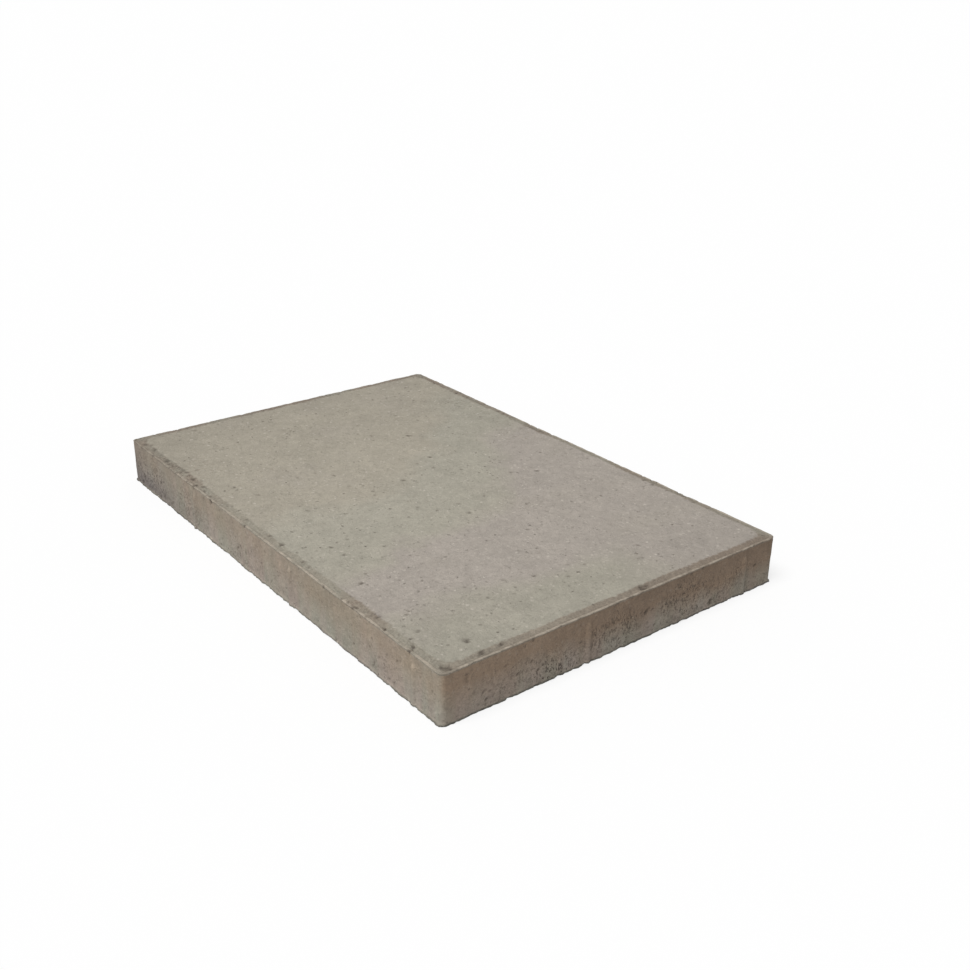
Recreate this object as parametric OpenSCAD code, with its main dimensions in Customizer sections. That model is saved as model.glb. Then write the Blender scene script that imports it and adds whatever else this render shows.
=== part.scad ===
// Concrete paving slab with a bevelled top edge and upright spacer ribs.
// One cast piece, lying flat: Z up, origin in the middle of the underside,
// long sides along X. Sizes in millimetres.

/* [Laying grid] */
// Length of the laying grid: one slab and one joint
grid_l = 600; // [400:10:900]
// Width of the laying grid: one slab and one joint
grid_w = 400; // [300:10:600]

/* [Slab] */
// Thickness from the underside to the walking face
slab_t = 50; // [40:1:80]
// Radius of the upright corners
corner_r = 4.5; // [3:0.5:12]

/* [Top edge] */
// Width of the bevel, seen from above
bevel_w = 7; // [3:0.5:10]
// Drop of the bevel from the walking face
bevel_drop = 2; // [1:0.5:5]
// Flat land between the bevel and the side
land_w = 1; // [0.5:0.1:2]
// Corner radius of the walking face
face_r = 14; // [10:1:24]

/* [Spacer ribs] */
// How far a rib stands out, which sets the joint
rib_h = 2; // [1:0.5:3]
// Width of a rib where it meets the side
rib_w = 7; // [6.5:0.5:12]
// Plain strip of the side above a rib
rib_below = 10; // [6:1:20]
// First rib of a long side, from its right end seen from outside
rib_first_l = 38; // [25:1:80]
// First rib of a short side, from its right end seen from outside
rib_first_w = 43; // [25:1:80]
// Spacing of the ribs along a side
rib_pitch = 200; // [120:5:240]

/* [Hidden] */
$fn = 96;
concrete = [0.64, 0.61, 0.56];
// the cutters reach this far past the slab
spill = 5;
// the cast piece is smaller than the grid by one joint
body_l = grid_l - rib_h;
body_w = grid_w - rib_h;
// level of the land at the foot of the bevel
land_z = slab_t - bevel_drop;
// a rib is a slice of a round bar, partly sunk in the side
rib_r = (rib_w * rib_w / 4 + rib_h * rib_h) / (2 * rib_h);
rib_top = slab_t - rib_below;
// last place for a rib, short of the far corner
rib_keep = corner_r + rib_w;
// centre of the walking face's corner, measured in from both sides
face_in = land_w + bevel_w + face_r;
// the corner cone ends one land short of the rounded corner
cone_r = sqrt(2) * (face_in - corner_r) + corner_r - land_w;

// Node to show

// plain block with rounded upright corners
module block() {
    in_l = body_l - 2 * corner_r;
    in_w = body_w - 2 * corner_r;
    linear_extrude(slab_t) {
        square([body_l, in_w], center = true);
        square([in_l, body_w], center = true);
        for (x = [-in_l / 2, in_l / 2]) {
            for (y = [-in_w / 2, in_w / 2]) {
                translate([x, y]) circle(r = corner_r);
            }
        }
    }
}

// one upright rib with a rounded head
module rib() {
    cylinder(r = rib_r, h = rib_top - rib_r);
    translate([0, 0, rib_top - rib_r]) sphere(r = rib_r);
}

// ribs of a side that faces -Y, counted from its right end at +X
module side_ribs(side, reach, first) {
    last = floor((side - first - rib_keep) / rib_pitch);
    for (i = [0 : last]) {
        translate([side / 2 - first - i * rib_pitch, rib_r - rib_h - reach, 0]) rib();
    }
}

// counted the same way round on all sides, so that the ribs of two neighbours miss each other
module ribs() {
    for (turn = [0, 180]) {
        rotate([0, 0, turn]) side_ribs(body_l, body_w / 2, rib_first_l);
        rotate([0, 0, turn + 90]) side_ribs(body_w, body_l / 2, rib_first_w);
    }
}

// what the bevel takes off a side that faces -Y
module side_cut(side, reach) {
    over = side + 2 * spill;
    translate([-over / 2, -reach, land_z])
    rotate([90, 0, 90])
    linear_extrude(over)
    polygon([
        [-spill, 0],
        [land_w, 0],
        [land_w + bevel_w, bevel_drop],
        [land_w + bevel_w, bevel_drop + spill],
        [-spill, bevel_drop + spill]
    ]);
}

// what the bevel takes off the corner at +X +Y, around a cone
module corner_cut() {
    block_side = face_in + spill;
    translate([body_l / 2 - face_in, body_w / 2 - face_in, land_z])
    difference() {
        cube([block_side, block_side, bevel_drop + spill]);
        cylinder(r1 = cone_r, r2 = face_r, h = bevel_drop);
    }
}

module bevel() {
    for (turn = [0, 180]) {
        rotate([0, 0, turn]) side_cut(body_l, body_w / 2);
        rotate([0, 0, turn + 90]) side_cut(body_w, body_l / 2);
    }
    for (flip_x = [0, 1]) {
        for (flip_y = [0, 1]) {
            mirror([flip_x, 0, 0]) mirror([0, flip_y, 0]) corner_cut();
        }
    }
}

module slab() {
    color(concrete)
    difference() {
        union() {
            block();
            ribs();
        }
        bevel();
    }
}

slab();
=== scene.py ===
"""Concrete paving slab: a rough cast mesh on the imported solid, its concrete, the light and the camera."""
import math
from collections import namedtuple

import bpy
import numpy as np
from mathutils import Matrix, Vector, kdtree


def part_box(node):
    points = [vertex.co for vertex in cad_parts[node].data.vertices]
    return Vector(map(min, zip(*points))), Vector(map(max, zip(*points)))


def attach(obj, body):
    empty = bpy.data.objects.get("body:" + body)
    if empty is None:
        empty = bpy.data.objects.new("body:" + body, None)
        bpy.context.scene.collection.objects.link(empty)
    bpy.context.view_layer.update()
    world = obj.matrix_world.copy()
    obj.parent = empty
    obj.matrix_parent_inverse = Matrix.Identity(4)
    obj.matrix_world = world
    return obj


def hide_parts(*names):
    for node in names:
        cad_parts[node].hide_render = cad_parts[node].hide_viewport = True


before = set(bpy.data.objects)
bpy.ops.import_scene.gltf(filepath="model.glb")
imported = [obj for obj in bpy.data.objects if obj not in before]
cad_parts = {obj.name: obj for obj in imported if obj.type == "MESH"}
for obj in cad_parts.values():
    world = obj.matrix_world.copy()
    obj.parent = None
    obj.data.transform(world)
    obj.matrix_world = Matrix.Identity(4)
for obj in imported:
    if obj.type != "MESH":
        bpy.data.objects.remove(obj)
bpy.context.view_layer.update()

MM = 0.001

# Main sizes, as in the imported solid
RIB_H = 2 * MM
RIB_W = 7 * MM
RIB_BELOW = 10 * MM
RIB_FIRST_L = 38 * MM
RIB_FIRST_W = 43 * MM
RIB_PITCH = 200 * MM
CORNER_R = 4.5 * MM
FACE_R = 14 * MM
BEVEL_W = 7 * MM
BEVEL_DROP = 2 * MM
LAND_W = 1 * MM

slab_low, slab_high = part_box("slab")
SLAB_T = slab_high.z - slab_low.z
BODY_L = slab_high.x - slab_low.x - 2 * RIB_H
BODY_W = slab_high.y - slab_low.y - 2 * RIB_H
LAND_Z = SLAB_T - BEVEL_DROP
RIB_TOP = SLAB_T - RIB_BELOW

# Mesh density: cells along a long and a short side, on half a corner, and under one coarse cell below
LONG_CELLS = 280
SHORT_CELLS = 188
CORNER_CELLS = 5
COARSE = 4
SIDE_ROWS = 21
# how much closer the cells are at a rib, and the number of steps that this is worked out in
RIB_CROWD = 2.2
CROWD_STEPS = 4001
# the coarse cells of the underside start this far in
BED_INSET = 10 * MM
# random shift of the points of the walking face, as a share of the room round them
GRID_JITTER = 0.30

# Section of the edge, from the foot up
FOOT_BURR = 0.9 * MM
FOOT_TUCK = 0.8
FOOT_H = 1.1 * MM
SIDE_FROM = 2.2 * MM
SIDE_TO = LAND_Z - 2.4 * MM
NECK_INSET = 0.15 * MM
NECK_Z = LAND_Z - 1.2 * MM
LIP_BEAD = 0.6 * MM
LIP_HALF = 1.3 * MM
LIP_INSET = 1.2 * MM
LIP_RISE = 0.35 * MM
LIP_ANGLES = (-30, 5, 35, 65, 90, 115, 140)
GULLY_Z = LAND_Z + 0.8 * MM
BEVEL_SHARES = (0.22, 0.36, 0.51, 0.66, 0.81, 0.96)
# where the bevel runs out: share of its width, and depth below the walking face
BEVEL_END = ((1.14, 0.05 * MM), (1.36, 0))
# shares of the bevel's width between which its look fades out
BEVEL_FADE = (0.62, 1.5)
# how far the upright corners are flattened, from an arc towards its chord
CORNER_FLAT = 0.3

# Roughness of the casting: how far it goes, and the size of its bumps
SEED = 26
TOP_WAVE = 0.22 * MM
SIDE_WAVE = 0.30 * MM
WAVE_SIZE = 70 * MM
TOP_ROUGH = 0.10 * MM
SIDE_ROUGH = 0.16 * MM
ROUGH_SIZE = 8 * MM
FOOT_ROUGH = 0.6 * MM
FOOT_SIZE = 6 * MM
FOOT_CHIP = 1.5 * MM
CHIP_SIZE = 7 * MM
LIP_ROUGH = 0.6 * LIP_BEAD
LIP_PUSH_SIZE = 11 * MM
LIP_LIFT_SIZE = 9 * MM
BEVEL_WANDER = 0.9 * MM
WANDER_SIZE = 22 * MM
# points lower than this don't move out, and none rises further than this above the walking face
BED_Z = 0.2 * MM
TOP_LIMIT = 0.4 * MM

# Ribs: share of their height that is left, width of the painted shadow along one foot of each, and the
# painted highlight at their head
RIB_WORN = 0.8
RIB_SHADOW_WIDTH = 1.0 * MM
NIB_HALF_W = 2 * MM
NIB_HALF_H = 1.6 * MM
NIB_DROP = 1 * MM

# Marks that the photo shows: x, y, z, radius and depth in millimetres
SHOWN_PITS = [
    (290, -191.7, 48.7, 3.4, 1.7),
    (292.8, -189.6, 48.8, 3.6, 1.8),
    (295.3, -187.9, 48.6, 3.0, 1.5),
    (294, 24, 49, 4.2, 2.4),
    (293, 29, 49.2, 2.6, 1.2),
    (292.3, -154, 49.2, 2.6, 1.0),
    (292, -135, 49.3, 2.8, 1.0),
    (255, -198, 48, 2.6, 1.6),
    (241.5, -188.5, 49.8, 2.4, 1.0),
    (216, -197, 48, 2.8, 2.0),
    (-101, -199, 47, 3.0, 2.0),
    (-140, -197, 48, 3.4, 2.0),
    (-275, -193, 49.3, 2.6, 0.7),
    (-267, -188, 49.8, 2.4, 0.7),
    (-255, -191, 49.5, 3.0, 0.8),
    (-215, -193, 49, 3.2, 0.9),
    (-193, -190, 49.6, 2.6, 0.8),
    (-154, -192, 49.3, 3.2, 1.0),
    (-35, -192, 49.5, 2.4, 0.8),
    (10, -191, 49.6, 3.0, 0.8),
    (33, -191, 49.6, 3.4, 1.2),
    (74, -192, 49.4, 2.4, 0.7),
    (86, -192, 49.4, 2.2, 0.5),
    (198, -191, 49.6, 2.4, 0.5),
    (253, -193, 49.3, 2.6, 1.0),
    (-26, -199, 47.5, 2.4, 1.6),
    (122, -199, 47.5, 2.2, 1.4),
    (272, -152, 50, 3.8, 1.0),
    (235, -176, 50, 2.4, 0.8),
    (65, -157, 50, 2.8, 1.0),
    (87, -154, 50, 2.4, 0.9),
    (139, -170, 50, 2.6, 1.1),
    (11, -107, 50, 2.6, 0.9),
    (-20, -16, 50, 3.0, 1.2),
    (-122, 61, 50, 3.0, 1.1),
    (-55, 43, 50, 2.4, 1.0),
    (-74, -67, 50, 2.6, 1.1),
    (92, -115, 50, 2.6, 0.9),
    (44, 115, 50, 2.8, 1.0),
    (144, -83, 50, 2.2, 0.8),
    (83, -6, 50, 2.4, 0.9),
    (235, 77, 50, 3.0, 1.0),
    (241, -16, 50, 2.2, 0.8),
    (225, -2, 50, 2.2, 0.8),
    (221, -41, 50, 2.4, 0.8),
    (299, -174, 37, 3.0, 0.4),
    (299, -167, 20, 3.4, 0.4),
    (299, -194, 17, 3.0, 0.3),
    (299, 111, 6, 3.2, 1.8),
    (299, 171, 27, 1.8, 1.0),
    (299, 25, 27, 2.8, 1.4),
]
# Scattered pits: how many, smallest and largest radius, largest depth
TOP_PITS = (170, 1.0 * MM, 2.8 * MM, 0.6 * MM)
BEVEL_PITS = (190, 1.0 * MM, 2.4 * MM, 0.9 * MM)
RIM_PITS = (60, 1.2 * MM, 2.6 * MM, 0.8 * MM)
SIDE_PITS = (110, 1.0 * MM, 2.4 * MM, 0.9 * MM)
# size of the bits of their ragged outline, its furthest reach in radii, and the depth at which the shade
# painted into them is darkest
PIT_RAGGED = 3.5 * MM
PIT_REACH = 1.3
PIT_BLACK = 1.0 * MM

# Middle of a greenish belt across the walking face: its x at a few places along y, in millimetres
BELT_Y = (-190, -60, 0, 50, 110, 170)
BELT_X = (55, 50, 27, 0, -80, -150)

# Camera, fitted to the edges of the slab in the photo
CAMERA_AT = Vector((0.90946, -0.64129, 0.55116))
CAMERA_TO = Vector((-0.00327, 0.08014, 0.025))
CAMERA_ROLL = math.radians(0.80)
CAMERA_LENS = 43.087
SENSOR = 36

# Light: a soft key from the side at -Y, an even sky, and what the floor throws back
KEY_FROM = Vector((0.03, -0.45, 0.89))
KEY_STRENGTH = 2.25
KEY_ANGLE = math.radians(30)
SKY_STRENGTH = 0.34
WHITE = (1, 1, 1, 1)
FLOOR_BOUNCE = (0.65, 0.65, 0.65, 1)
FLOOR_GLOW = 0.78
FLOOR_HALF = 40.0
FLOOR_Z = -0.2 * MM

# Marks that each point of the mesh gets as it is made, from 0 to 1
MARKS = ("side", "lip", "gully", "bevel", "foot", "rib", "dirt", "nib")

# The four ways that a side can face
RIGHT = (1, 0)
BACK = (0, 1)
LEFT = (-1, 0)
FRONT = (0, -1)

# A side: its length, the slab's size across it, its cells, its first rib, its ways to the right and out
Side = namedtuple("Side", "along across cells first_rib right out")
SIDES = [
    Side(BODY_L, BODY_W, LONG_CELLS, RIB_FIRST_L, RIGHT, FRONT),
    Side(BODY_W, BODY_L, SHORT_CELLS, RIB_FIRST_W, BACK, RIGHT),
    Side(BODY_L, BODY_W, LONG_CELLS, RIB_FIRST_L, LEFT, BACK),
    Side(BODY_W, BODY_L, SHORT_CELLS, RIB_FIRST_W, FRONT, LEFT),
]


class Lattice:
    """Smooth random values from -1 to 1 over space. A shift reads another stretch of them."""

    SIZE = 7919
    STRIDE = np.array([15731, 789221, 1376312589])
    OCTAVES = 3
    OCTAVE_SHIFT = 7.3

    def __init__(self, seed):
        self.table = np.random.default_rng(seed).uniform(-1, 1, self.SIZE)

    def at(self, points, size, shift=0.0):
        """The value at each point, in bumps about size across."""
        cell = (points + shift) / size
        base = np.floor(cell).astype(np.int64)
        share = cell - base
        share = share * share * (3 - 2 * share)
        total = np.zeros(len(points))
        for corner in np.ndindex(2, 2, 2):
            value = self.table[((base + corner) @ self.STRIDE) % self.SIZE]
            total += value * np.where(corner, share, 1 - share).prod(axis=1)
        return total

    def rough(self, points, size, shift=0.0):
        """Several sizes of bumps on each other, each half as large as the last."""
        total = np.zeros(len(points))
        for k in range(self.OCTAVES):
            moved = points + shift + self.OCTAVE_SHIFT * k * size
            total += self.at(moved, size / 2 ** k) / 2 ** k
        return total


def rib_places(side):
    """Places of the ribs on a side, from its middle, the first one near its right end."""
    count = int((side.along - side.first_rib - CORNER_R - RIB_W) // RIB_PITCH) + 1
    return [side.along / 2 - side.first_rib - i * RIB_PITCH for i in range(count)]


def side_steps(side):
    """Shares of a side's straight stretch, closer together at the ribs."""
    straight = side.along - 2 * CORNER_R
    share = np.linspace(0, 1, CROWD_STEPS)
    density = np.ones_like(share)
    for place in rib_places(side):
        away = (share - 0.5) * straight - place
        density += RIB_CROWD * np.exp(-((away / RIB_W) ** 2))
    walk = np.concatenate([[0], np.cumsum((density[1:] + density[:-1]) / 2)])
    return np.interp(np.linspace(0, walk[-1], side.cells - 2 * CORNER_CELLS + 1), walk, share)


class Ring:
    """One closed line of points round the slab, from the middle of the corner at -X -Y."""

    def __init__(self, inset, radius):
        parts = [self.stretch(side, inset, radius) for side in SIDES]
        self.xy = np.concatenate([p[0] for p in parts])
        self.out = np.concatenate([p[1] for p in parts])
        self.along = np.concatenate([p[2] for p in parts])
        self.side_of = np.repeat(range(4), [len(p[2]) for p in parts])

    def stretch(self, side, inset, radius):
        """Half a corner, a straight stretch and half a corner of one side."""
        straight = side.along / 2 - inset - radius
        turn = np.linspace(-math.pi / 4, 0, CORNER_CELLS + 1)
        steps = (2 * side_steps(side) - 1) * straight
        bend = np.concatenate([turn[:-1], np.zeros(len(steps)), -turn[::-1][1:-1]])
        middle = np.concatenate([
            np.full(CORNER_CELLS, -straight), steps, np.full(CORNER_CELLS - 1, straight)])
        flat = CORNER_FLAT * CORNER_R / radius
        chord = math.cos(math.pi / 4) / np.cos(math.pi / 4 - np.abs(bend))
        arc = radius * (1 - flat + flat * chord)
        along = middle + arc * np.sin(bend)
        away = side.across / 2 - inset - radius + arc * np.cos(bend)
        xy = np.outer(along, side.right) + np.outer(away, side.out)
        out = np.outer(np.sin(bend), side.right) + np.outer(np.cos(bend), side.out)
        return xy, out, along


def rib_relief(ring, z):
    """How far the ribs stand out at height z, the painted shadow along one foot of each and the painted
    highlight at their head.
    """
    radius = (RIB_W ** 2 / 4 + RIB_H ** 2) / (2 * RIB_H)
    head = max(0.0, z - (RIB_TOP - radius))
    height = np.zeros(len(ring.along))
    gap = np.ones(len(ring.along))
    near = np.ones(len(ring.along))
    for k, side in enumerate(SIDES):
        foot = RIB_W / 2 if k % 2 else -RIB_W / 2
        for place in rib_places(side):
            away = np.where(ring.side_of == k, ring.along - place, 1)
            bar = np.sqrt(np.maximum(radius ** 2 - away ** 2 - head ** 2, 0)) - (radius - RIB_H)
            height = np.maximum(height, RIB_WORN * bar)
            gap = np.minimum(gap, np.abs(away - foot))
            near = np.minimum(near, np.abs(away))
    # painted shadow along the foot of each rib on its shaded side
    dirt = np.exp(-((gap / RIB_SHADOW_WIDTH) ** 2)) * (z < RIB_TOP)
    # painted highlight on the head of each rib
    nib = np.exp(-((near / NIB_HALF_W) ** 2) - ((z - RIB_TOP + NIB_DROP) / NIB_HALF_H) ** 2)
    return height, dirt, nib


def section():
    """The slab's edge from its foot to the walking face: inset, height, corner radius and zone."""
    rows = [(-FOOT_TUCK * FOOT_BURR, 0, CORNER_R, "foot"), (-FOOT_BURR, FOOT_H, CORNER_R, "foot")]
    for z in np.linspace(SIDE_FROM, SIDE_TO, SIDE_ROWS):
        rows.append((0, z, CORNER_R, "side"))
    rows.append((NECK_INSET, NECK_Z, CORNER_R, "side"))
    for angle in np.radians(LIP_ANGLES):
        inset = LIP_INSET - LIP_HALF * math.cos(angle)
        rows.append((inset, LAND_Z + LIP_RISE + LIP_BEAD * math.sin(angle), CORNER_R, "lip"))
    for share in BEVEL_SHARES:
        radius = CORNER_R + (FACE_R - CORNER_R) * share
        z = LAND_Z + LIP_RISE * (1 - share) + BEVEL_DROP * share
        rows.append((LAND_W + BEVEL_W * share, z, radius, "bevel"))
    for share, depth in BEVEL_END:
        rows.append((LAND_W + BEVEL_W * share, SLAB_T - depth, FACE_R, "bevel"))
    return rows


def lip_highlight(flat):
    """Painted highlight along the lip: brightest on its crest, dull on the corners and towards the end at
    -X.
    """
    x, y = np.abs(flat[:, :2]).T
    corner = np.exp(-((BODY_L / 2 - x + BODY_W / 2 - y) / (13 * MM)) ** 2)
    worn = np.interp(flat[:, 0] / BODY_L, [-0.5, -0.05], [0.5, 1])
    crest = np.interp(flat[:, 2] - LAND_Z, [-0.2 * MM, LIP_RISE + 0.5 * LIP_BEAD], [0.2, 1])
    return crest * worn * (1 - 0.85 * corner)


def zone_marks(zone, inset, flat):
    """Marks of a row of the edge: the lip is part of the bevel, which fades out into the walking face."""
    if zone == "lip":
        return {"lip": lip_highlight(flat), "bevel": 1.0}
    if zone == "bevel":
        fade = np.interp((inset - LAND_W) / BEVEL_W, BEVEL_FADE, [1, 0])
        return {"bevel": fade, "gully": (flat[:, 2] < GULLY_Z).astype(float)}
    return {zone: 1.0}


def band(lower, upper, count):
    """Faces between two closed lines of points that start at the given numbers, facing out."""
    here = np.arange(count)
    after = np.roll(here, -1)
    return np.stack([lower + here, lower + after, upper + after, upper + here], -1)


def coons(edge, columns, rows):
    """Points of a grid stretched over a closed line of 2 x (columns + rows) points."""
    closed = np.vstack([edge, edge[:1]])
    front = closed[:columns + 1]
    right = closed[columns:columns + rows + 1]
    back = closed[columns + rows:2 * columns + rows + 1][::-1]
    left = closed[2 * columns + rows:][::-1]
    u = np.linspace(0, 1, columns + 1)[:, None, None]
    v = np.linspace(0, 1, rows + 1)[None, :, None]
    flat = (1 - v) * front[:, None] + v * back[:, None] + (1 - u) * left[None] + u * right[None]
    ends = (1 - u) * ((1 - v) * front[0] + v * back[0]) + u * ((1 - v) * front[-1] + v * back[-1])
    return flat - ends


def cell_room(grid):
    """Distance from each inner point of a grid to the nearest of its eight neighbours."""
    inner = grid[1:-1, 1:-1]
    columns, rows, _ = inner.shape
    room = np.full((columns, rows), np.inf)
    for i, j in np.ndindex(3, 3):
        if (i, j) != (1, 1):
            away = grid[i:i + columns, j:j + rows] - inner
            room = np.minimum(room, np.linalg.norm(away, axis=2))
    return room.reshape(-1, 1)


def grid_index(columns, rows, edge_start, inner_start):
    """Vertex number of every point of a grid whose border is a line that exists already."""
    index = np.zeros((columns + 1, rows + 1), int)
    inner = np.arange((columns - 1) * (rows - 1)).reshape(columns - 1, rows - 1)
    index[1:-1, 1:-1] = inner_start + inner
    count = 2 * (columns + rows)
    line = edge_start + np.arange(count + 1) % count
    index[:, 0] = line[:columns + 1]
    index[-1, :] = line[columns:columns + rows + 1]
    index[:, -1] = line[columns + rows:2 * columns + rows + 1][::-1]
    index[0, :] = line[2 * columns + rows:][::-1]
    return index


def grid_faces(index):
    """The cells of a grid, facing up."""
    corners = [index[:-1, :-1], index[1:, :-1], index[1:, 1:], index[:-1, 1:]]
    return np.stack(corners, -1).reshape(-1, 4)


class SlabShape:
    """Points, faces and marks of the cast slab."""

    def __init__(self):
        self.random = np.random.default_rng(SEED)
        self.noise = Lattice(SEED + 1)
        self.points = []
        self.quads = []
        self.triangles = []
        self.marks = {name: [] for name in MARKS}
        self.facing = []
        self.count = 0
        self.edge()
        self.top()
        self.underside()
        self.points = np.concatenate(self.points)
        self.facing = np.concatenate(self.facing)
        self.marks = {name: np.concatenate(parts) for name, parts in self.marks.items()}

    def add(self, points, facing=(0, 0), **marks):
        """Appends points with the way they face and their marks, and returns the number of the first."""
        first = self.count
        self.points.append(points)
        self.facing.append(np.broadcast_to(facing, (len(points), 2)))
        self.count += len(points)
        for name in MARKS:
            self.marks[name].append(np.broadcast_to(marks.get(name, 0.0), len(points)))
        return first

    def edge(self):
        """All rows from the foot to the border of the walking face."""
        last = None
        for inset, z, radius, zone in section():
            ring = Ring(inset, radius)
            flat = np.column_stack([ring.xy, np.full(len(ring.xy), z)])
            push, lift = self.uneven(flat, zone, inset)
            rib, dirt, nib = rib_relief(ring, z)
            points = flat + np.column_stack([ring.out * (push + rib)[:, None], lift])
            marks = zone_marks(zone, inset, flat)
            first = self.add(points, ring.out, rib=rib / RIB_H, dirt=dirt, nib=nib, **marks)
            if last is None:
                self.foot_line = first
            else:
                self.quads.append(band(last, first, len(points)))
            last = first
        self.face_line = last

    def uneven(self, flat, zone, inset):
        """How far the casting departs from its line, outwards and upwards."""
        still = np.zeros(len(flat))
        line = flat * (1, 1, 0)
        if zone == "foot":
            bits = self.noise.rough(line, FOOT_SIZE) + self.random.uniform(-0.7, 0.7, len(flat))
            gone = np.clip(self.noise.rough(line, CHIP_SIZE, shift=3) - 0.15, 0, 0.7)
            return FOOT_ROUGH * bits, FOOT_CHIP * gone
        if zone == "lip":
            fade = np.interp(inset, [LIP_INSET, LIP_INSET + LIP_HALF], [1, 0])
            push = self.noise.rough(line, LIP_PUSH_SIZE) * fade
            return LIP_ROUGH * push, LIP_ROUGH * self.noise.rough(line, LIP_LIFT_SIZE, shift=5)
        if zone == "bevel":
            share = (flat[:, 2] - LAND_Z) / BEVEL_DROP
            return BEVEL_WANDER * self.noise.rough(line, WANDER_SIZE) * share, still
        return still, still

    def top(self):
        """The walking face, a grid inside the last row."""
        border = self.points[-1]
        grid = coons(border, LONG_CELLS, SHORT_CELLS)
        room = cell_room(grid)
        grid = grid[1:-1, 1:-1].reshape(-1, 3)
        grid[:, :2] += self.random.uniform(-GRID_JITTER, GRID_JITTER, (len(grid), 2)) * room
        inner = self.add(grid)
        self.quads.append(grid_faces(grid_index(LONG_CELLS, SHORT_CELLS, self.face_line, inner)))

    def underside(self):
        """The bedding face, in coarser cells that a row of triangles ties to the foot."""
        border = Ring(BED_INSET, CORNER_R).xy[::COARSE]
        edge = self.add(np.column_stack([border, np.zeros(len(border))]))
        columns, rows = LONG_CELLS // COARSE, SHORT_CELLS // COARSE
        grid = coons(self.points[-1], columns, rows)[1:-1, 1:-1].reshape(-1, 3)
        inner = self.add(grid)
        self.quads.append(grid_faces(grid_index(columns, rows, edge, inner))[:, ::-1])
        count = COARSE * len(border)
        half = COARSE // 2
        for c in range(len(border)):
            fine = [self.foot_line + (COARSE * c + i) % count for i in range(COARSE + 1)]
            here = edge + c
            after = edge + (c + 1) % len(border)
            for i in range(COARSE):
                self.triangles.append((fine[i + 1], fine[i], here if i < half else after))
            self.triangles.append((here, after, fine[half]))


def slab_mesh(shape):
    """A closed Blender mesh of the shape."""
    quads = np.concatenate(shape.quads).tolist()
    mesh = bpy.data.meshes.new("slab_cast")
    mesh.from_pydata(shape.points.tolist(), [], quads + shape.triangles)
    mesh.update()
    mesh.shade_smooth()
    return mesh


def vertex_normals(mesh):
    """All vertex normals of a mesh as one array."""
    flat = np.zeros(len(mesh.vertices) * 3)
    mesh.vertices.foreach_get("normal", flat)
    return flat.reshape(-1, 3)


def towards(shape, way):
    """How fully each point of the edge faces one way, from 0 to 1."""
    return np.clip(shape.facing @ way, 0, 1) ** 2


def on_corner(shape):
    """1 in the middle of each upright corner, 0 on the flat sides."""
    return (2 * shape.facing.prod(axis=1)) ** 2


def crumbly(shape):
    """Where the top edge crumbles, in patches: most at the end at -X, least on the side at +X."""
    worn = np.interp(shape.points[:, 0] / BODY_L, [-0.5, 0, 0.3], [0.5, 0.15, -0.35])
    patches = shape.noise.at(shape.points, 70 * MM, shift=2)
    return np.clip(patches + worn - 0.6 * towards(shape, RIGHT), 0, 1)


def scatter(shape, chosen, kind):
    """Pits at random points of a part of the mesh, most of them small."""
    count, small, large, deepest = kind
    at = shape.random.choice(np.flatnonzero(chosen), count, replace=False)
    size = shape.random.random(count) ** 2.5
    radius = small + (large - small) * size
    depth = deepest * (0.4 + 0.6 * size)
    return [(shape.points[i], r, d) for i, r, d in zip(at, radius, depth)]


def all_pits(shape):
    """The pits that the photo shows, and scattered ones on every face."""
    height = shape.points[:, 2]
    face = height > SLAB_T - 0.02 * MM
    bevel = shape.marks["bevel"] > 0
    rim = (height > SLAB_T - 0.3 * MM) & bevel
    side = (shape.marks["side"] > 0) & (shape.marks["rib"] == 0) & (on_corner(shape) == 0)
    crowd = shape.noise.at(shape.points, 60 * MM) + 1.4 * (0.5 - height / SLAB_T)
    loose = crumbly(shape) > 0.12
    pits = [(np.array([x, y, z]) * MM, r * MM, d * MM) for x, y, z, r, d in SHOWN_PITS]
    pits += scatter(shape, face, TOP_PITS)
    pits += scatter(shape, bevel & loose, BEVEL_PITS)
    pits += scatter(shape, rim & loose, RIM_PITS)
    pits += scatter(shape, side & (crowd > 0), SIDE_PITS)
    return pits


def carve(shape, pits):
    """Depth of the pits at each point, and the shade painted into them, darker where they are deeper."""
    tree = kdtree.KDTree(shape.count)
    for i, point in enumerate(shape.points):
        tree.insert(point, i)
    tree.balance()
    ragged = 1.1 + 0.6 * shape.noise.rough(shape.points, PIT_RAGGED)
    depth = np.zeros(shape.count)
    dark = np.zeros(shape.count)
    for centre, radius, deep in pits:
        for _, i, distance in tree.find_range(tree.find(centre)[0], radius * PIT_REACH):
            share = max(0.0, 1 - distance * ragged[i] / radius)
            bowl = min(1.0, 2.0 * share)
            depth[i] = max(depth[i], deep * bowl * bowl * (3 - 2 * bowl))
            dark[i] = max(dark[i], bowl * min(1.0, deep / PIT_BLACK))
    return depth, dark


def pit_way(shape, normals):
    """The way out of a pit: along the normal, but aslant round the lip, where the normals fan out."""
    rim = np.interp(shape.points[:, 2], [LAND_Z - 4 * MM, LAND_Z, GULLY_Z, SLAB_T], [0, 1, 1, 0])
    slant = np.column_stack([shape.facing, np.ones(shape.count)]) / math.sqrt(2)
    return normals + rim[:, None] * (slant - normals)


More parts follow.
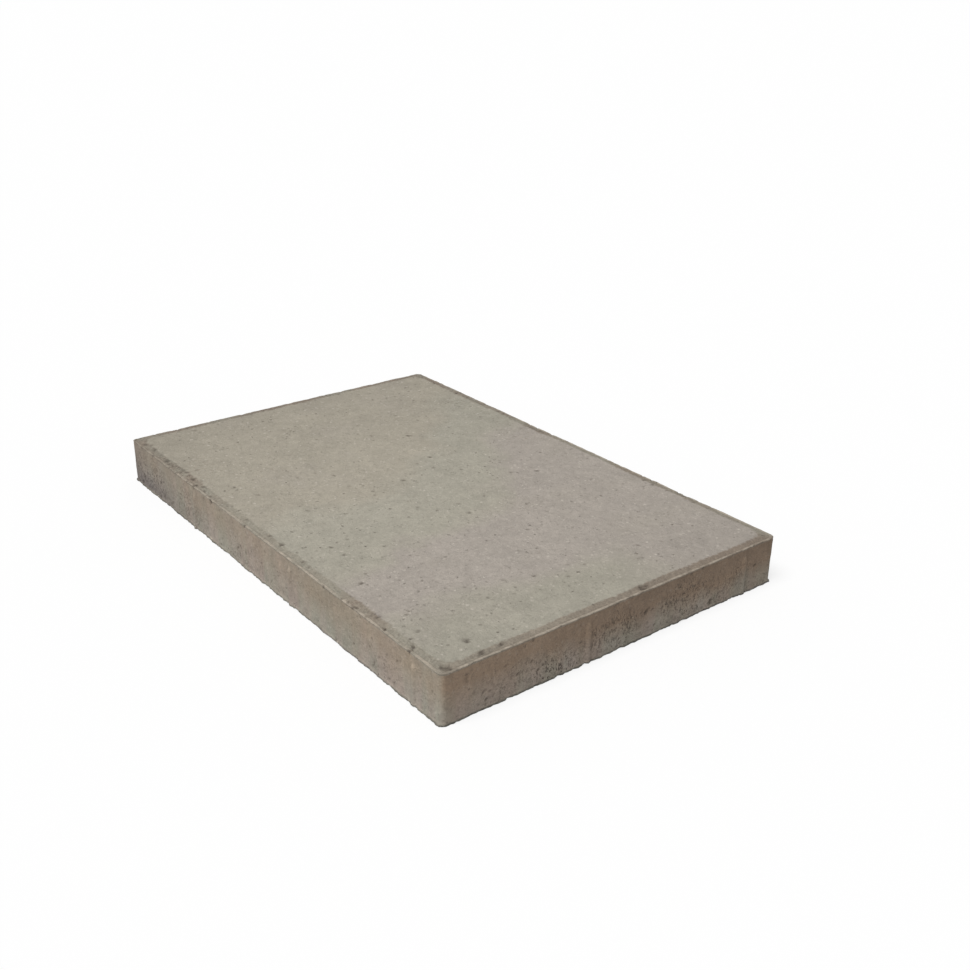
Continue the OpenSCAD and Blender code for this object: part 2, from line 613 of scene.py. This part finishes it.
def roughen(shape, mesh):
    """Makes the mesh uneven and carves the pits, and returns the shade painted into them."""
    normals = vertex_normals(mesh)
    side = np.maximum(shape.marks["side"], shape.marks["foot"]) > 0
    wave = shape.noise.at(shape.points, WAVE_SIZE)
    fine = shape.noise.rough(shape.points, ROUGH_SIZE)
    grain = shape.random.uniform(-1, 1, shape.count)
    out = np.where(side, SIDE_WAVE, TOP_WAVE) * wave
    out += np.where(side, SIDE_ROUGH, TOP_ROUGH) * (0.7 * fine + 0.3 * grain)
    depth, dark = carve(shape, all_pits(shape))
    below = shape.points[:, 2] < BED_Z
    moved = shape.points + normals * np.where(below, np.minimum(out, 0), out)[:, None]
    moved -= pit_way(shape, normals) * np.where(below, 0, depth)[:, None]
    moved[:, 2] = np.clip(moved[:, 2], 0, SLAB_T + TOP_LIMIT)
    mesh.vertices.foreach_set("co", moved.astype(np.float32).ravel())
    mesh.update()
    return dark


def skin_and_shade(shape):
    """Brown cement skin on the sides, strongest below the top edge; its extra strength at +X and towards +Y
    there, where the bevel has it too, is painted shade.
    """
    x, y, z = shape.points.T
    right = towards(shape, RIGHT)
    cloud = shape.noise.rough(shape.points * (1, 1, 1.6), 55 * MM)
    runs = shape.noise.rough(shape.points * (1, 1, 0.2), 16 * MM)
    level = np.interp(z / SLAB_T, [0, 0.2, 0.5, 0.7, 1], [0.0, 0.1, 0.6, 1.0, 1.0]) + 0.12 * right
    # painted shade: stronger towards +Y on the side at +X
    far = np.interp(y / BODY_W, [-0.5, 0.5], [0.85, 1.3])
    near = np.interp(x / BODY_L, [-0.5, -0.2, 0.15, 0.48], [0.65, 0.5, 0.55, 0.6])
    strong = near + (far - near) * right
    uneven = (0.35 * cloud + 0.3 * runs) * (1 - 0.5 * right)
    skin = np.clip(strong * (level + uneven), 0, 1.3) * shape.marks["side"]
    bevel = np.interp(y / BODY_W, [-0.4, 0, 0.4], [0.42, 0.7, 0.95]) * (shape.marks["bevel"] > 0)
    return skin + bevel * right


def pitted(shape):
    """Where the sides are open-textured: low down, in clouds, most of all at +X."""
    x, y, z = shape.points.T
    front = towards(shape, FRONT)
    cloud = shape.noise.rough(shape.points, 40 * MM, shift=0.4)
    level = np.interp(z / SLAB_T, [0, 0.2, 0.55, 0.75, 0.9], [0.4, 0.65, 0.6, 0.1, -0.4]) + 0.15 * front
    on_right = np.interp(y / BODY_W, [-0.5, -0.4, -0.28, 0.34, 0.42], [0.1, 0.3, 1, 1, 0.35])
    on_front = np.interp(x / BODY_L, [-0.5, -0.1, 0.2], [0.55, 0.4, 0.1])
    strong = on_right * towards(shape, RIGHT) + on_front * front
    strong += 0.8 * towards(shape, LEFT) + 0.35 * towards(shape, BACK)
    smooth = (1 - shape.marks["rib"]) * (1 - on_corner(shape))
    return np.clip(strong * (level + 0.9 * cloud), 0, 1) * shape.marks["side"] * smooth


def open_skin(shape):
    """Where single pits show on the sides: all over, but few by the upright corners and the top edge."""
    x, y, z = shape.points.T
    level = np.interp(z / SLAB_T, [0, 0.6, 0.9], [1, 0.8, 0.3])
    level -= np.interp(x / BODY_L, [0, 0.4], [0, 0.5]) * level * towards(shape, FRONT)
    level -= np.interp(y / BODY_W, [-0.5, -0.3], [0.6, 0]) * level * towards(shape, RIGHT)
    patches = 0.6 + 0.4 * shape.noise.at(shape.points, 50 * MM, shift=5)
    return level * patches * (1 - on_corner(shape))


def cold(shape):
    """Dark grey at the far end of the side at -Y: a patch low down, and a strip at the corner."""
    x, _, z = shape.points.T
    patch = np.exp(-(((x + 275 * MM) / (85 * MM)) ** 2 + ((z - 4 * MM) / (17 * MM)) ** 2))
    strip = np.exp(-((x + 300 * MM) / (26 * MM)) ** 2) * np.interp(z / SLAB_T, [0.4, 0.95], [0.7, 0.2])
    return np.maximum(patch, strip) * towards(shape, FRONT) * shape.marks["side"]


def painted_shade_right(shape):
    """Painted shade: darker patches on the far end and the foot of the side at +X."""
    _, y, z = shape.points.T
    level = np.interp(z / SLAB_T, [0.2, 0.9], [0, 1]) * np.interp(y / BODY_W, [-0.35, 0.05], [0, 1])
    foot = np.interp(z, [1 * MM, 8 * MM], [0.45, 0])
    return np.maximum(0.9 * level, foot) * towards(shape, RIGHT) * shape.marks["side"]


def dirty(shape):
    """Where the painted shade along the foot is darkest: on the side at +X, on the upright corners and where
    the edge crumbles.
    """
    return np.maximum.reduce([towards(shape, RIGHT), on_corner(shape), crumbly(shape)])


def painted_light_face(shape):
    """Painted light: a wide lighter patch of the walking face nearer to -Y, which ends short of some
    borders.
    """
    x, y, _ = shape.points.T / MM
    patch = np.exp(-((x - 55) / 310) ** 2 - ((y + 90) / 300) ** 2)
    patch -= np.interp(x, [-290, -245], [0.3, 0])
    patch -= np.interp(x, [-290, -130], [0.5, 0]) * np.interp(y, [-190, -120], [1, 0])
    patch -= np.interp(x, [200, 290], [0, 0.15]) * np.interp(y, [20, 120], [0, 1])
    return patch


def painted_light(shape):
    """Painted light and shade, up to 2: a lighter patch of the walking face, the sides lighter towards +X
    -Y, and darker just under the top edge of the side at -Y.
    """
    x, y, z = shape.points.T
    front = np.interp(x / BODY_L, [-0.5, -0.25, -0.12, 0.4], [0.1, 0.9, 1.06, 1.3])
    front = (front - np.interp(z / SLAB_T, [0.7, 0.92], [0, 0.25])) * towards(shape, FRONT)
    right = np.interp(y / BODY_W, [-0.5, -0.2, 0.1], [1.3, 0.9, 0.58]) * towards(shape, RIGHT)
    hidden = 0.6 * (towards(shape, LEFT) + towards(shape, BACK))
    return np.where(shape.marks["side"] > 0, front + right + hidden, painted_light_face(shape))


def hues(shape):
    """Where the walking face is pinker and greener: yellow at -X, a green belt, pink, and green again."""
    x, y, _ = shape.points.T / MM
    ragged = 22 * shape.noise.rough(shape.points, 45 * MM, shift=1)
    past = x - np.interp(y, BELT_Y, BELT_X) + ragged
    end = np.interp(x + ragged, [200, 250], [0, 1]) * np.interp(y + ragged, [20, 90], [1, 0])
    pinker = np.interp(past, [10, 80], [0, 1]) * (1 - 0.6 * end)
    greener = np.maximum(np.interp(np.abs(past), [35, 80], [1, 0]), end)
    return pinker, greener


def set_attribute(mesh, name, values):
    """One number for each point, for the material to read."""
    layer = mesh.attributes.new(name, "FLOAT", "POINT")
    layer.data.foreach_set("value", values.astype(np.float32))


class Graph:
    """Short calls for the nodes of a material or a sky."""

    # nearly all of a noise lies between these values
    NOISE_LOW = 0.3
    NOISE_HIGH = 0.7

    def __init__(self, owner):
        owner.use_nodes = True
        self.tree = owner.node_tree
        self.tree.nodes.clear()

    def node(self, kind, **settings):
        """A new node."""
        made = self.tree.nodes.new(kind)
        for name, value in settings.items():
            setattr(made, name, value)
        return made

    def put(self, socket, value):
        """Links a socket, or sets a plain value."""
        if isinstance(value, bpy.types.NodeSocket):
            self.tree.links.new(value, socket)
        else:
            socket.default_value = value

    def place(self):
        """Object coordinates."""
        return self.node("ShaderNodeTexCoord").outputs["Object"]

    def stretched(self, factors):
        """Object coordinates multiplied along each axis."""
        made = self.node("ShaderNodeVectorMath", operation="MULTIPLY")
        self.put(made.inputs[0], self.place())
        made.inputs[1].default_value = factors
        return made.outputs[0]

    def bent(self, size, amount):
        """Object coordinates pushed about by noise, for ragged outlines."""
        noise = self.node("ShaderNodeTexNoise")
        self.put(noise.inputs["Vector"], self.place())
        noise.inputs["Scale"].default_value = 1 / size
        push = self.node("ShaderNodeVectorMath", operation="MULTIPLY_ADD")
        self.put(push.inputs[0], noise.outputs["Color"])
        push.inputs[1].default_value = (amount, amount, amount)
        self.put(push.inputs[2], self.place())
        return push.outputs[0]

    def noise(self, size, detail=2.0, rough=0.5, place=None, twist=0.0):
        """Noise from 0 to 1 with bumps about size across, drawn out to wisps by a twist."""
        made = self.node("ShaderNodeTexNoise")
        self.put(made.inputs["Vector"], place or self.place())
        made.inputs["Scale"].default_value = 1 / size
        made.inputs["Detail"].default_value = detail
        made.inputs["Roughness"].default_value = rough
        made.inputs["Distortion"].default_value = twist
        return made.outputs["Fac"]

    def flecks(self, size, share, reach, place):
        """Spots in a share of cells of the given size, about as wide as reach cells, few of them strong."""
        made = self.node("ShaderNodeTexVoronoi")
        self.put(made.inputs["Vector"], place)
        made.inputs["Scale"].default_value = 1 / size
        pick = self.node("ShaderNodeSeparateColor")
        self.put(pick.inputs[0], made.outputs["Color"])
        chosen = self.remap(pick.outputs[0], share, 0)
        width = self.remap(pick.outputs[1], 0, 1, 0.6, 1.4)
        away = self.math("DIVIDE", made.outputs["Distance"], width)
        return self.times(chosen, self.remap(away, reach / 3, reach, 1, 0))

    def attribute(self, name):
        """A mark of the mesh."""
        return self.node("ShaderNodeAttribute", attribute_name=name).outputs["Fac"]

    def remap(self, value, low, high, to_low=0.0, to_high=1.0):
        """A value brought from one range to another, and held inside it."""
        made = self.node("ShaderNodeMapRange")
        ends = {"From Min": low, "From Max": high, "To Min": to_low, "To Max": to_high}
        for name, number in ends.items():
            made.inputs[name].default_value = number
        self.put(made.inputs["Value"], value)
        return made.outputs["Result"]

    def vary(self, noise, low, high):
        """A noise spread over a range."""
        return self.remap(noise, self.NOISE_LOW, self.NOISE_HIGH, low, high)

    def fade(self, mark, low, high):
        """A value that a mark of the mesh takes from low, where it is 0, to high."""
        return self.remap(self.attribute(mark), 0, 1, low, high)

    def math(self, operation, a, b):
        """Two values put together."""
        made = self.node("ShaderNodeMath", operation=operation)
        self.put(made.inputs[0], a)
        self.put(made.inputs[1], b)
        return made.outputs[0]

    def times(self, first, *others):
        """The product of several values."""
        for other in others:
            first = self.math("MULTIPLY", first, other)
        return first

    def plus(self, first, *others):
        """The sum of several values."""
        for other in others:
            first = self.math("ADD", first, other)
        return first

    def mix(self, share, a, b):
        """A colour between two others."""
        made = self.node("ShaderNodeMix", data_type="RGBA")
        self.put(made.inputs["Factor"], share)
        self.put(made.inputs[6], a)
        self.put(made.inputs[7], b)
        return made.outputs[2]

    def gain(self, colour, factor):
        """A colour made lighter or darker."""
        made = self.node("ShaderNodeVectorMath", operation="SCALE")
        self.put(made.inputs[0], colour)
        self.put(made.inputs["Scale"], factor)
        return made.outputs[0]

    def blend(self, share, a, b):
        """Two shaders mixed."""
        made = self.node("ShaderNodeMixShader")
        for socket, value in zip(made.inputs, (share, a, b)):
            self.put(socket, value)
        return made.outputs[0]

    def paint(self, colour, roughness, specular):
        """A plain surface."""
        made = self.node("ShaderNodeBsdfPrincipled")
        self.put(made.inputs["Base Color"], colour)
        self.put(made.inputs["Roughness"], roughness)
        made.inputs["Specular IOR Level"].default_value = specular
        return made

    def show(self, shader, kind="ShaderNodeOutputMaterial"):
        """What the nodes end in."""
        self.put(self.node(kind).inputs[0], shader)


def srgb(red, green, blue):
    """Colour values from 0 to 255 as the linear colour that a shader takes."""
    linear = []
    for value in (red, green, blue):
        share = value / 255
        low = share <= 0.04045
        linear.append(share / 12.92 if low else ((share + 0.055) / 1.055) ** 2.4)
    return (*linear, 1.0)


# Colours of the concrete
FACE_YELLOW = srgb(164, 157, 142.8)
FACE_PINK = srgb(164.5, 156.5, 147.5)
FACE_GREEN = srgb(162, 157.2, 144)
SIDE_PINK = srgb(163, 151, 141)
SIDE_GREY = srgb(157, 153, 140)
SKIN_BROWN = srgb(153, 137, 118)
SKIN_RUSSET = srgb(151, 131, 112)
COLD_GREY = srgb(119, 111, 109)
BEVEL_GREY = srgb(147, 142, 129)
BEVEL_BROWN = srgb(139, 127, 114)
BEVEL_STAIN_AND_SHADE = srgb(134, 121, 108)
CRUMB = srgb(98, 89, 78)
GULLY = srgb(120, 110, 97)
# colour of the painted highlight along the lip
LIP_HIGHLIGHT = srgb(176, 165, 150)
FLECK_LIGHT = srgb(205, 197, 185)
FLECK_DARK = srgb(96, 88, 78)
SMEAR = srgb(112, 104, 94)
HOLE = srgb(78, 70, 62)
PIT_SHADE = srgb(74, 66, 58)

# Depth of the concrete's finest relief
BUMP_DEPTH = 0.8 * MM


def face_colour(g):
    """The walking face: yellowish, with pinker and greener parts."""
    hue = g.plus(g.vary(g.noise(70 * MM, 3, 0.55), -0.2, 0.2), g.attribute("pinker"))
    face = g.mix(hue, FACE_YELLOW, FACE_PINK)
    return g.mix(g.attribute("greener"), face, FACE_GREEN)


def side_colour(g):
    """The sides: streaks of pink and grey under a brown cement skin, with painted shade in it at +X, and a
    cold grey end.
    """
    streak = g.noise(16 * MM, 2, 0.5, g.stretched((1, 1, 0.15)))
    plain = g.mix(g.remap(streak, 0.35, 0.65), SIDE_PINK, SIDE_GREY)
    skin = g.mix(g.attribute("russet"), SKIN_BROWN, SKIN_RUSSET)
    sides = g.mix(g.attribute("skin_and_shade"), plain, skin)
    runs = g.noise(7 * MM, 3, 0.6, g.stretched((1, 1, 0.25)))
    sides = g.gain(sides, g.vary(runs, 0.94, 1.06))
    return g.mix(g.times(g.attribute("cold"), 0.8), sides, COLD_GREY)


def bevel_share(g):
    """How fully a point looks like the bevel, with a ragged border."""
    ragged = g.vary(g.noise(5 * MM, 3, 0.6), -0.22, 0.22)
    ragged = g.plus(ragged, g.times(g.attribute("crumbly"), 0.3))
    return g.remap(g.plus(g.attribute("bevel"), ragged), 0.27, 0.62)


def bevel_colour(g):
    """The bevel: grey, and brown where it crumbles and at +X, where cement skin and painted shade cover it.
    """
    patches = g.remap(g.noise(40 * MM, 3, 0.6), 0.38, 0.62)
    brown = g.times(patches, g.remap(g.attribute("crumbly"), 0, 0.4, 0.4, 1))
    slope = g.mix(brown, BEVEL_GREY, BEVEL_BROWN)
    return g.mix(g.attribute("skin_and_shade"), slope, BEVEL_STAIN_AND_SHADE)


def add_edge(g, colour, bevel):
    """Lays the bevel over a colour, with its crumbs, the dark groove at its foot and the painted highlight
    along the lip.
    """
    colour = g.mix(bevel, colour, bevel_colour(g))
    crust = g.times(bevel, g.vary(g.noise(3 * MM, 3, 0.7), -0.18, 0.18))
    colour = g.gain(colour, g.plus(crust, 1.0))
    crumbs = g.times(g.remap(g.noise(4 * MM, 3, 0.7), 0.5, 0.62), g.attribute("crumbly"))
    crumbs = g.times(crumbs, g.remap(g.attribute("bevel"), 0.2, 0.6), 0.8)
    colour = g.mix(crumbs, colour, CRUMB)
    gully = g.times(g.attribute("gully"), g.fade("russet", 0.25, 0.5))
    colour = g.mix(gully, colour, GULLY)
    # painted highlight along the lip
    lip = g.times(g.attribute("lip"), g.remap(g.noise(9 * MM, 4, 0.7), 0.37, 0.62, 0.05, 1))
    return g.mix(lip, colour, LIP_HIGHLIGHT)


def add_shade(g, colour):
    """Paints light and shade into a colour where the marks say so, and shade along the foot."""
    # painted shadow along the ribs and painted highlight at their heads
    colour = g.gain(colour, g.fade("dirt", 1.0, 0.80))
    colour = g.gain(colour, g.fade("nib", 1.0, 1.2))
    # painted light and shade: lighter and darker stretches of the faces
    colour = g.gain(colour, g.remap(g.attribute("painted_light"), 0, 2, 0.91, 1.21))
    # painted shade on the side at +X
    colour = g.gain(colour, g.fade("painted_shade_right", 1.0, 0.78))
    # painted shade along the foot, in patches
    patches = g.remap(g.noise(9 * MM, 3, 0.6), 0.35, 0.65, 0.85, 0.5)
    painted_foot_shade = g.times(g.attribute("foot"), patches, g.fade("dirty", 0.62, 0.94))
    return g.gain(colour, g.math("SUBTRACT", 1.0, painted_foot_shade))


def add_mottle(g, colour, mottle, grit, sand):
    """Makes a colour uneven at all sizes, most of all where the sides are open-textured."""
    colour = g.gain(colour, g.vary(g.noise(45 * MM), 0.965, 1.045))
    colour = g.gain(colour, g.vary(mottle, 0.925, 1.075))
    colour = g.gain(colour, g.vary(grit, 0.915, 1.085))
    colour = g.gain(colour, g.vary(sand, 0.92, 1.08))
    coarse = g.times(g.vary(sand, -0.2, 0.2), g.attribute("pitted"))
    return g.gain(colour, g.plus(coarse, 1.0))


def light_flecks(g, bevel):
    """Light grains, fewer on the bevel and the sides."""
    flecks = g.flecks(3.8 * MM, 0.30, 0.42, g.bent(2.5 * MM, 2.5 * MM))
    flecks = g.times(flecks, g.remap(bevel, 0, 1, 1.0, 0.4))
    return g.times(flecks, g.fade("side", 1.0, 0.4), g.fade("russet", 1.0, 0.45))


def dark_flecks(g):
    """Dark dots in clouds on every face, and more of them on the sides."""
    flecks = g.flecks(4.5 * MM, 0.36, 0.34, g.bent(3 * MM, 5 * MM))
    flecks = g.times(flecks, g.remap(g.noise(30 * MM), 0.32, 0.56))
    dots = g.flecks(3.4 * MM, 0.8, 0.36, g.bent(2 * MM, 3 * MM))
    dots = g.times(dots, g.attribute("side"), g.attribute("open"))
    return g.math("MAXIMUM", flecks, dots)


def open_holes(g):
    """Small holes, taller than wide, where the sides are open-textured."""
    holes = g.noise(2.1 * MM, 3, 0.65, g.stretched((1, 1, 0.55)))
    return g.times(g.remap(holes, 0.555, 0.615), g.attribute("pitted"))


def add_flecks(g, colour, light, dark, holes):
    """Lays grains, dots, smears and holes over a colour, and paints shade into the pits."""
    colour = g.mix(g.times(light, 0.64), colour, FLECK_LIGHT)
    colour = g.mix(g.times(dark, 0.7), colour, FLECK_DARK)
    smear = g.remap(g.noise(7 * MM, 4, 0.7, twist=1.5), 0.56, 0.7, 0, 0.3)
    colour = g.mix(smear, colour, SMEAR)
    colour = g.mix(g.times(holes, 0.8), colour, HOLE)
    # painted shade in the pits
    return g.mix(g.times(g.attribute("pit_shade"), 0.8), colour, PIT_SHADE)


def concrete():
    """Beige-grey cast concrete: mottled face, browner sides, dark pits and light grains."""
    material = bpy.data.materials.new("cast_concrete")
    g = Graph(material)
    bevel = bevel_share(g)
    mottle = g.noise(14 * MM, 3, 0.6, twist=0.8)
    grit = g.noise(5 * MM, 3, 0.6, twist=1.5)
    sand = g.noise(1.5 * MM, 3, 0.65)
    light = light_flecks(g, bevel)
    dark = dark_flecks(g)
    holes = open_holes(g)

    colour = g.mix(g.attribute("side"), face_colour(g), side_colour(g))
    colour = add_edge(g, colour, bevel)
    colour = add_shade(g, colour)
    colour = add_mottle(g, colour, mottle, grit, sand)
    colour = add_flecks(g, colour, light, dark, holes)

    raised = g.plus(g.times(sand, 0.5), grit, mottle, g.times(light, 0.4))
    sunk = g.plus(dark, g.times(holes, 0.8))
    bump = g.node("ShaderNodeBump")
    bump.inputs["Strength"].default_value = 1.0
    bump.inputs["Distance"].default_value = BUMP_DEPTH
    g.put(bump.inputs["Height"], g.math("SUBTRACT", raised, sunk))
    shader = g.paint(colour, g.vary(sand, 0.82, 0.96), 0.3)
    g.put(shader.inputs["Normal"], bump.outputs[0])
    g.show(shader.outputs[0])
    return material


def add_object(name, data):
    """A new object in the scene."""
    made = bpy.data.objects.new(name, data)
    bpy.context.scene.collection.objects.link(made)
    return made


def make_slab():
    """The rough cast slab in place of the plain solid."""
    shape = SlabShape()
    mesh = slab_mesh(shape)
    pit_shade = roughen(shape, mesh)
    pinker, greener = hues(shape)
    marks = {
        **shape.marks,
        "pit_shade": pit_shade,
        "skin_and_shade": skin_and_shade(shape),
        "pitted": pitted(shape),
        "open": open_skin(shape),
        "painted_shade_right": painted_shade_right(shape),
        "cold": cold(shape),
        "russet": towards(shape, RIGHT),
        "crumbly": crumbly(shape),
        "dirty": dirty(shape),
        "painted_light": painted_light(shape),
        "pinker": pinker,
        "greener": greener,
    }
    for name, values in marks.items():
        set_attribute(mesh, name, values)
    mesh.materials.append(concrete())
    piece = add_object("slab_cast", mesh)
    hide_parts("slab")
    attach(piece, "root")


def seen_by_camera(g):
    """1 for rays that show the background: straight, mirrored or through glass."""
    rays = g.node("ShaderNodeLightPath")
    total = rays.outputs["Is Camera Ray"]
    for name in ("Is Glossy Ray", "Is Transmission Ray"):
        total = g.math("MAXIMUM", total, rays.outputs[name])
    return total


def make_floor():
    """A white floor that glows a little to the camera and keeps the slab's shadow."""
    half = FLOOR_HALF
    corners = [(-half, -half), (half, -half), (half, half), (-half, half)]
    mesh = bpy.data.meshes.new("floor")
    mesh.from_pydata([(x, y, FLOOR_Z) for x, y in corners], [], [(0, 1, 2, 3)])
    material = bpy.data.materials.new("white_floor")
    g = Graph(material)
    seen = seen_by_camera(g)
    paint = g.paint(g.mix(seen, FLOOR_BOUNCE, WHITE), 1, 0)
    glow = g.node("ShaderNodeEmission")
    g.show(g.blend(g.times(seen, FLOOR_GLOW), paint.outputs[0], glow.outputs[0]))
    mesh.materials.append(material)
    floor = add_object("floor", mesh)


def make_key():
    """A soft lamp above the side at -Y."""
    lamp = bpy.data.lights.new("key", "SUN")
    lamp.energy = KEY_STRENGTH
    lamp.angle = KEY_ANGLE
    key = add_object("key", lamp)
    key.rotation_euler = KEY_FROM.to_track_quat("Z", "Y").to_euler()


def make_sky():
    """An even sky that is white where it is seen."""
    world = bpy.data.worlds.new("sky")
    g = Graph(world)
    sky = g.node("ShaderNodeBackground")
    sky.inputs["Color"].default_value = WHITE
    sky.inputs["Strength"].default_value = SKY_STRENGTH
    seen = g.node("ShaderNodeBackground")
    seen.inputs["Color"].default_value = WHITE
    both = g.blend(seen_by_camera(g), sky.outputs[0], seen.outputs[0])
    g.show(both, "ShaderNodeOutputWorld")
    bpy.context.scene.world = world


def make_camera():
    """The photo's view of the slab."""
    data = bpy.data.cameras.new("camera")
    data.sensor_fit = "HORIZONTAL"
    data.sensor_width = SENSOR
    data.lens = CAMERA_LENS
    camera = add_object("camera", data)
    turn = (CAMERA_TO - CAMERA_AT).to_track_quat("-Z", "Y").to_matrix().to_4x4()
    camera.matrix_world = Matrix.Translation(CAMERA_AT) @ turn @ Matrix.Rotation(CAMERA_ROLL, 4, "Z")
    bpy.context.scene.camera = camera


bpy.context.scene.view_settings.view_transform = "Standard"
make_camera()
make_key()
make_sky()
make_floor()
make_slab()
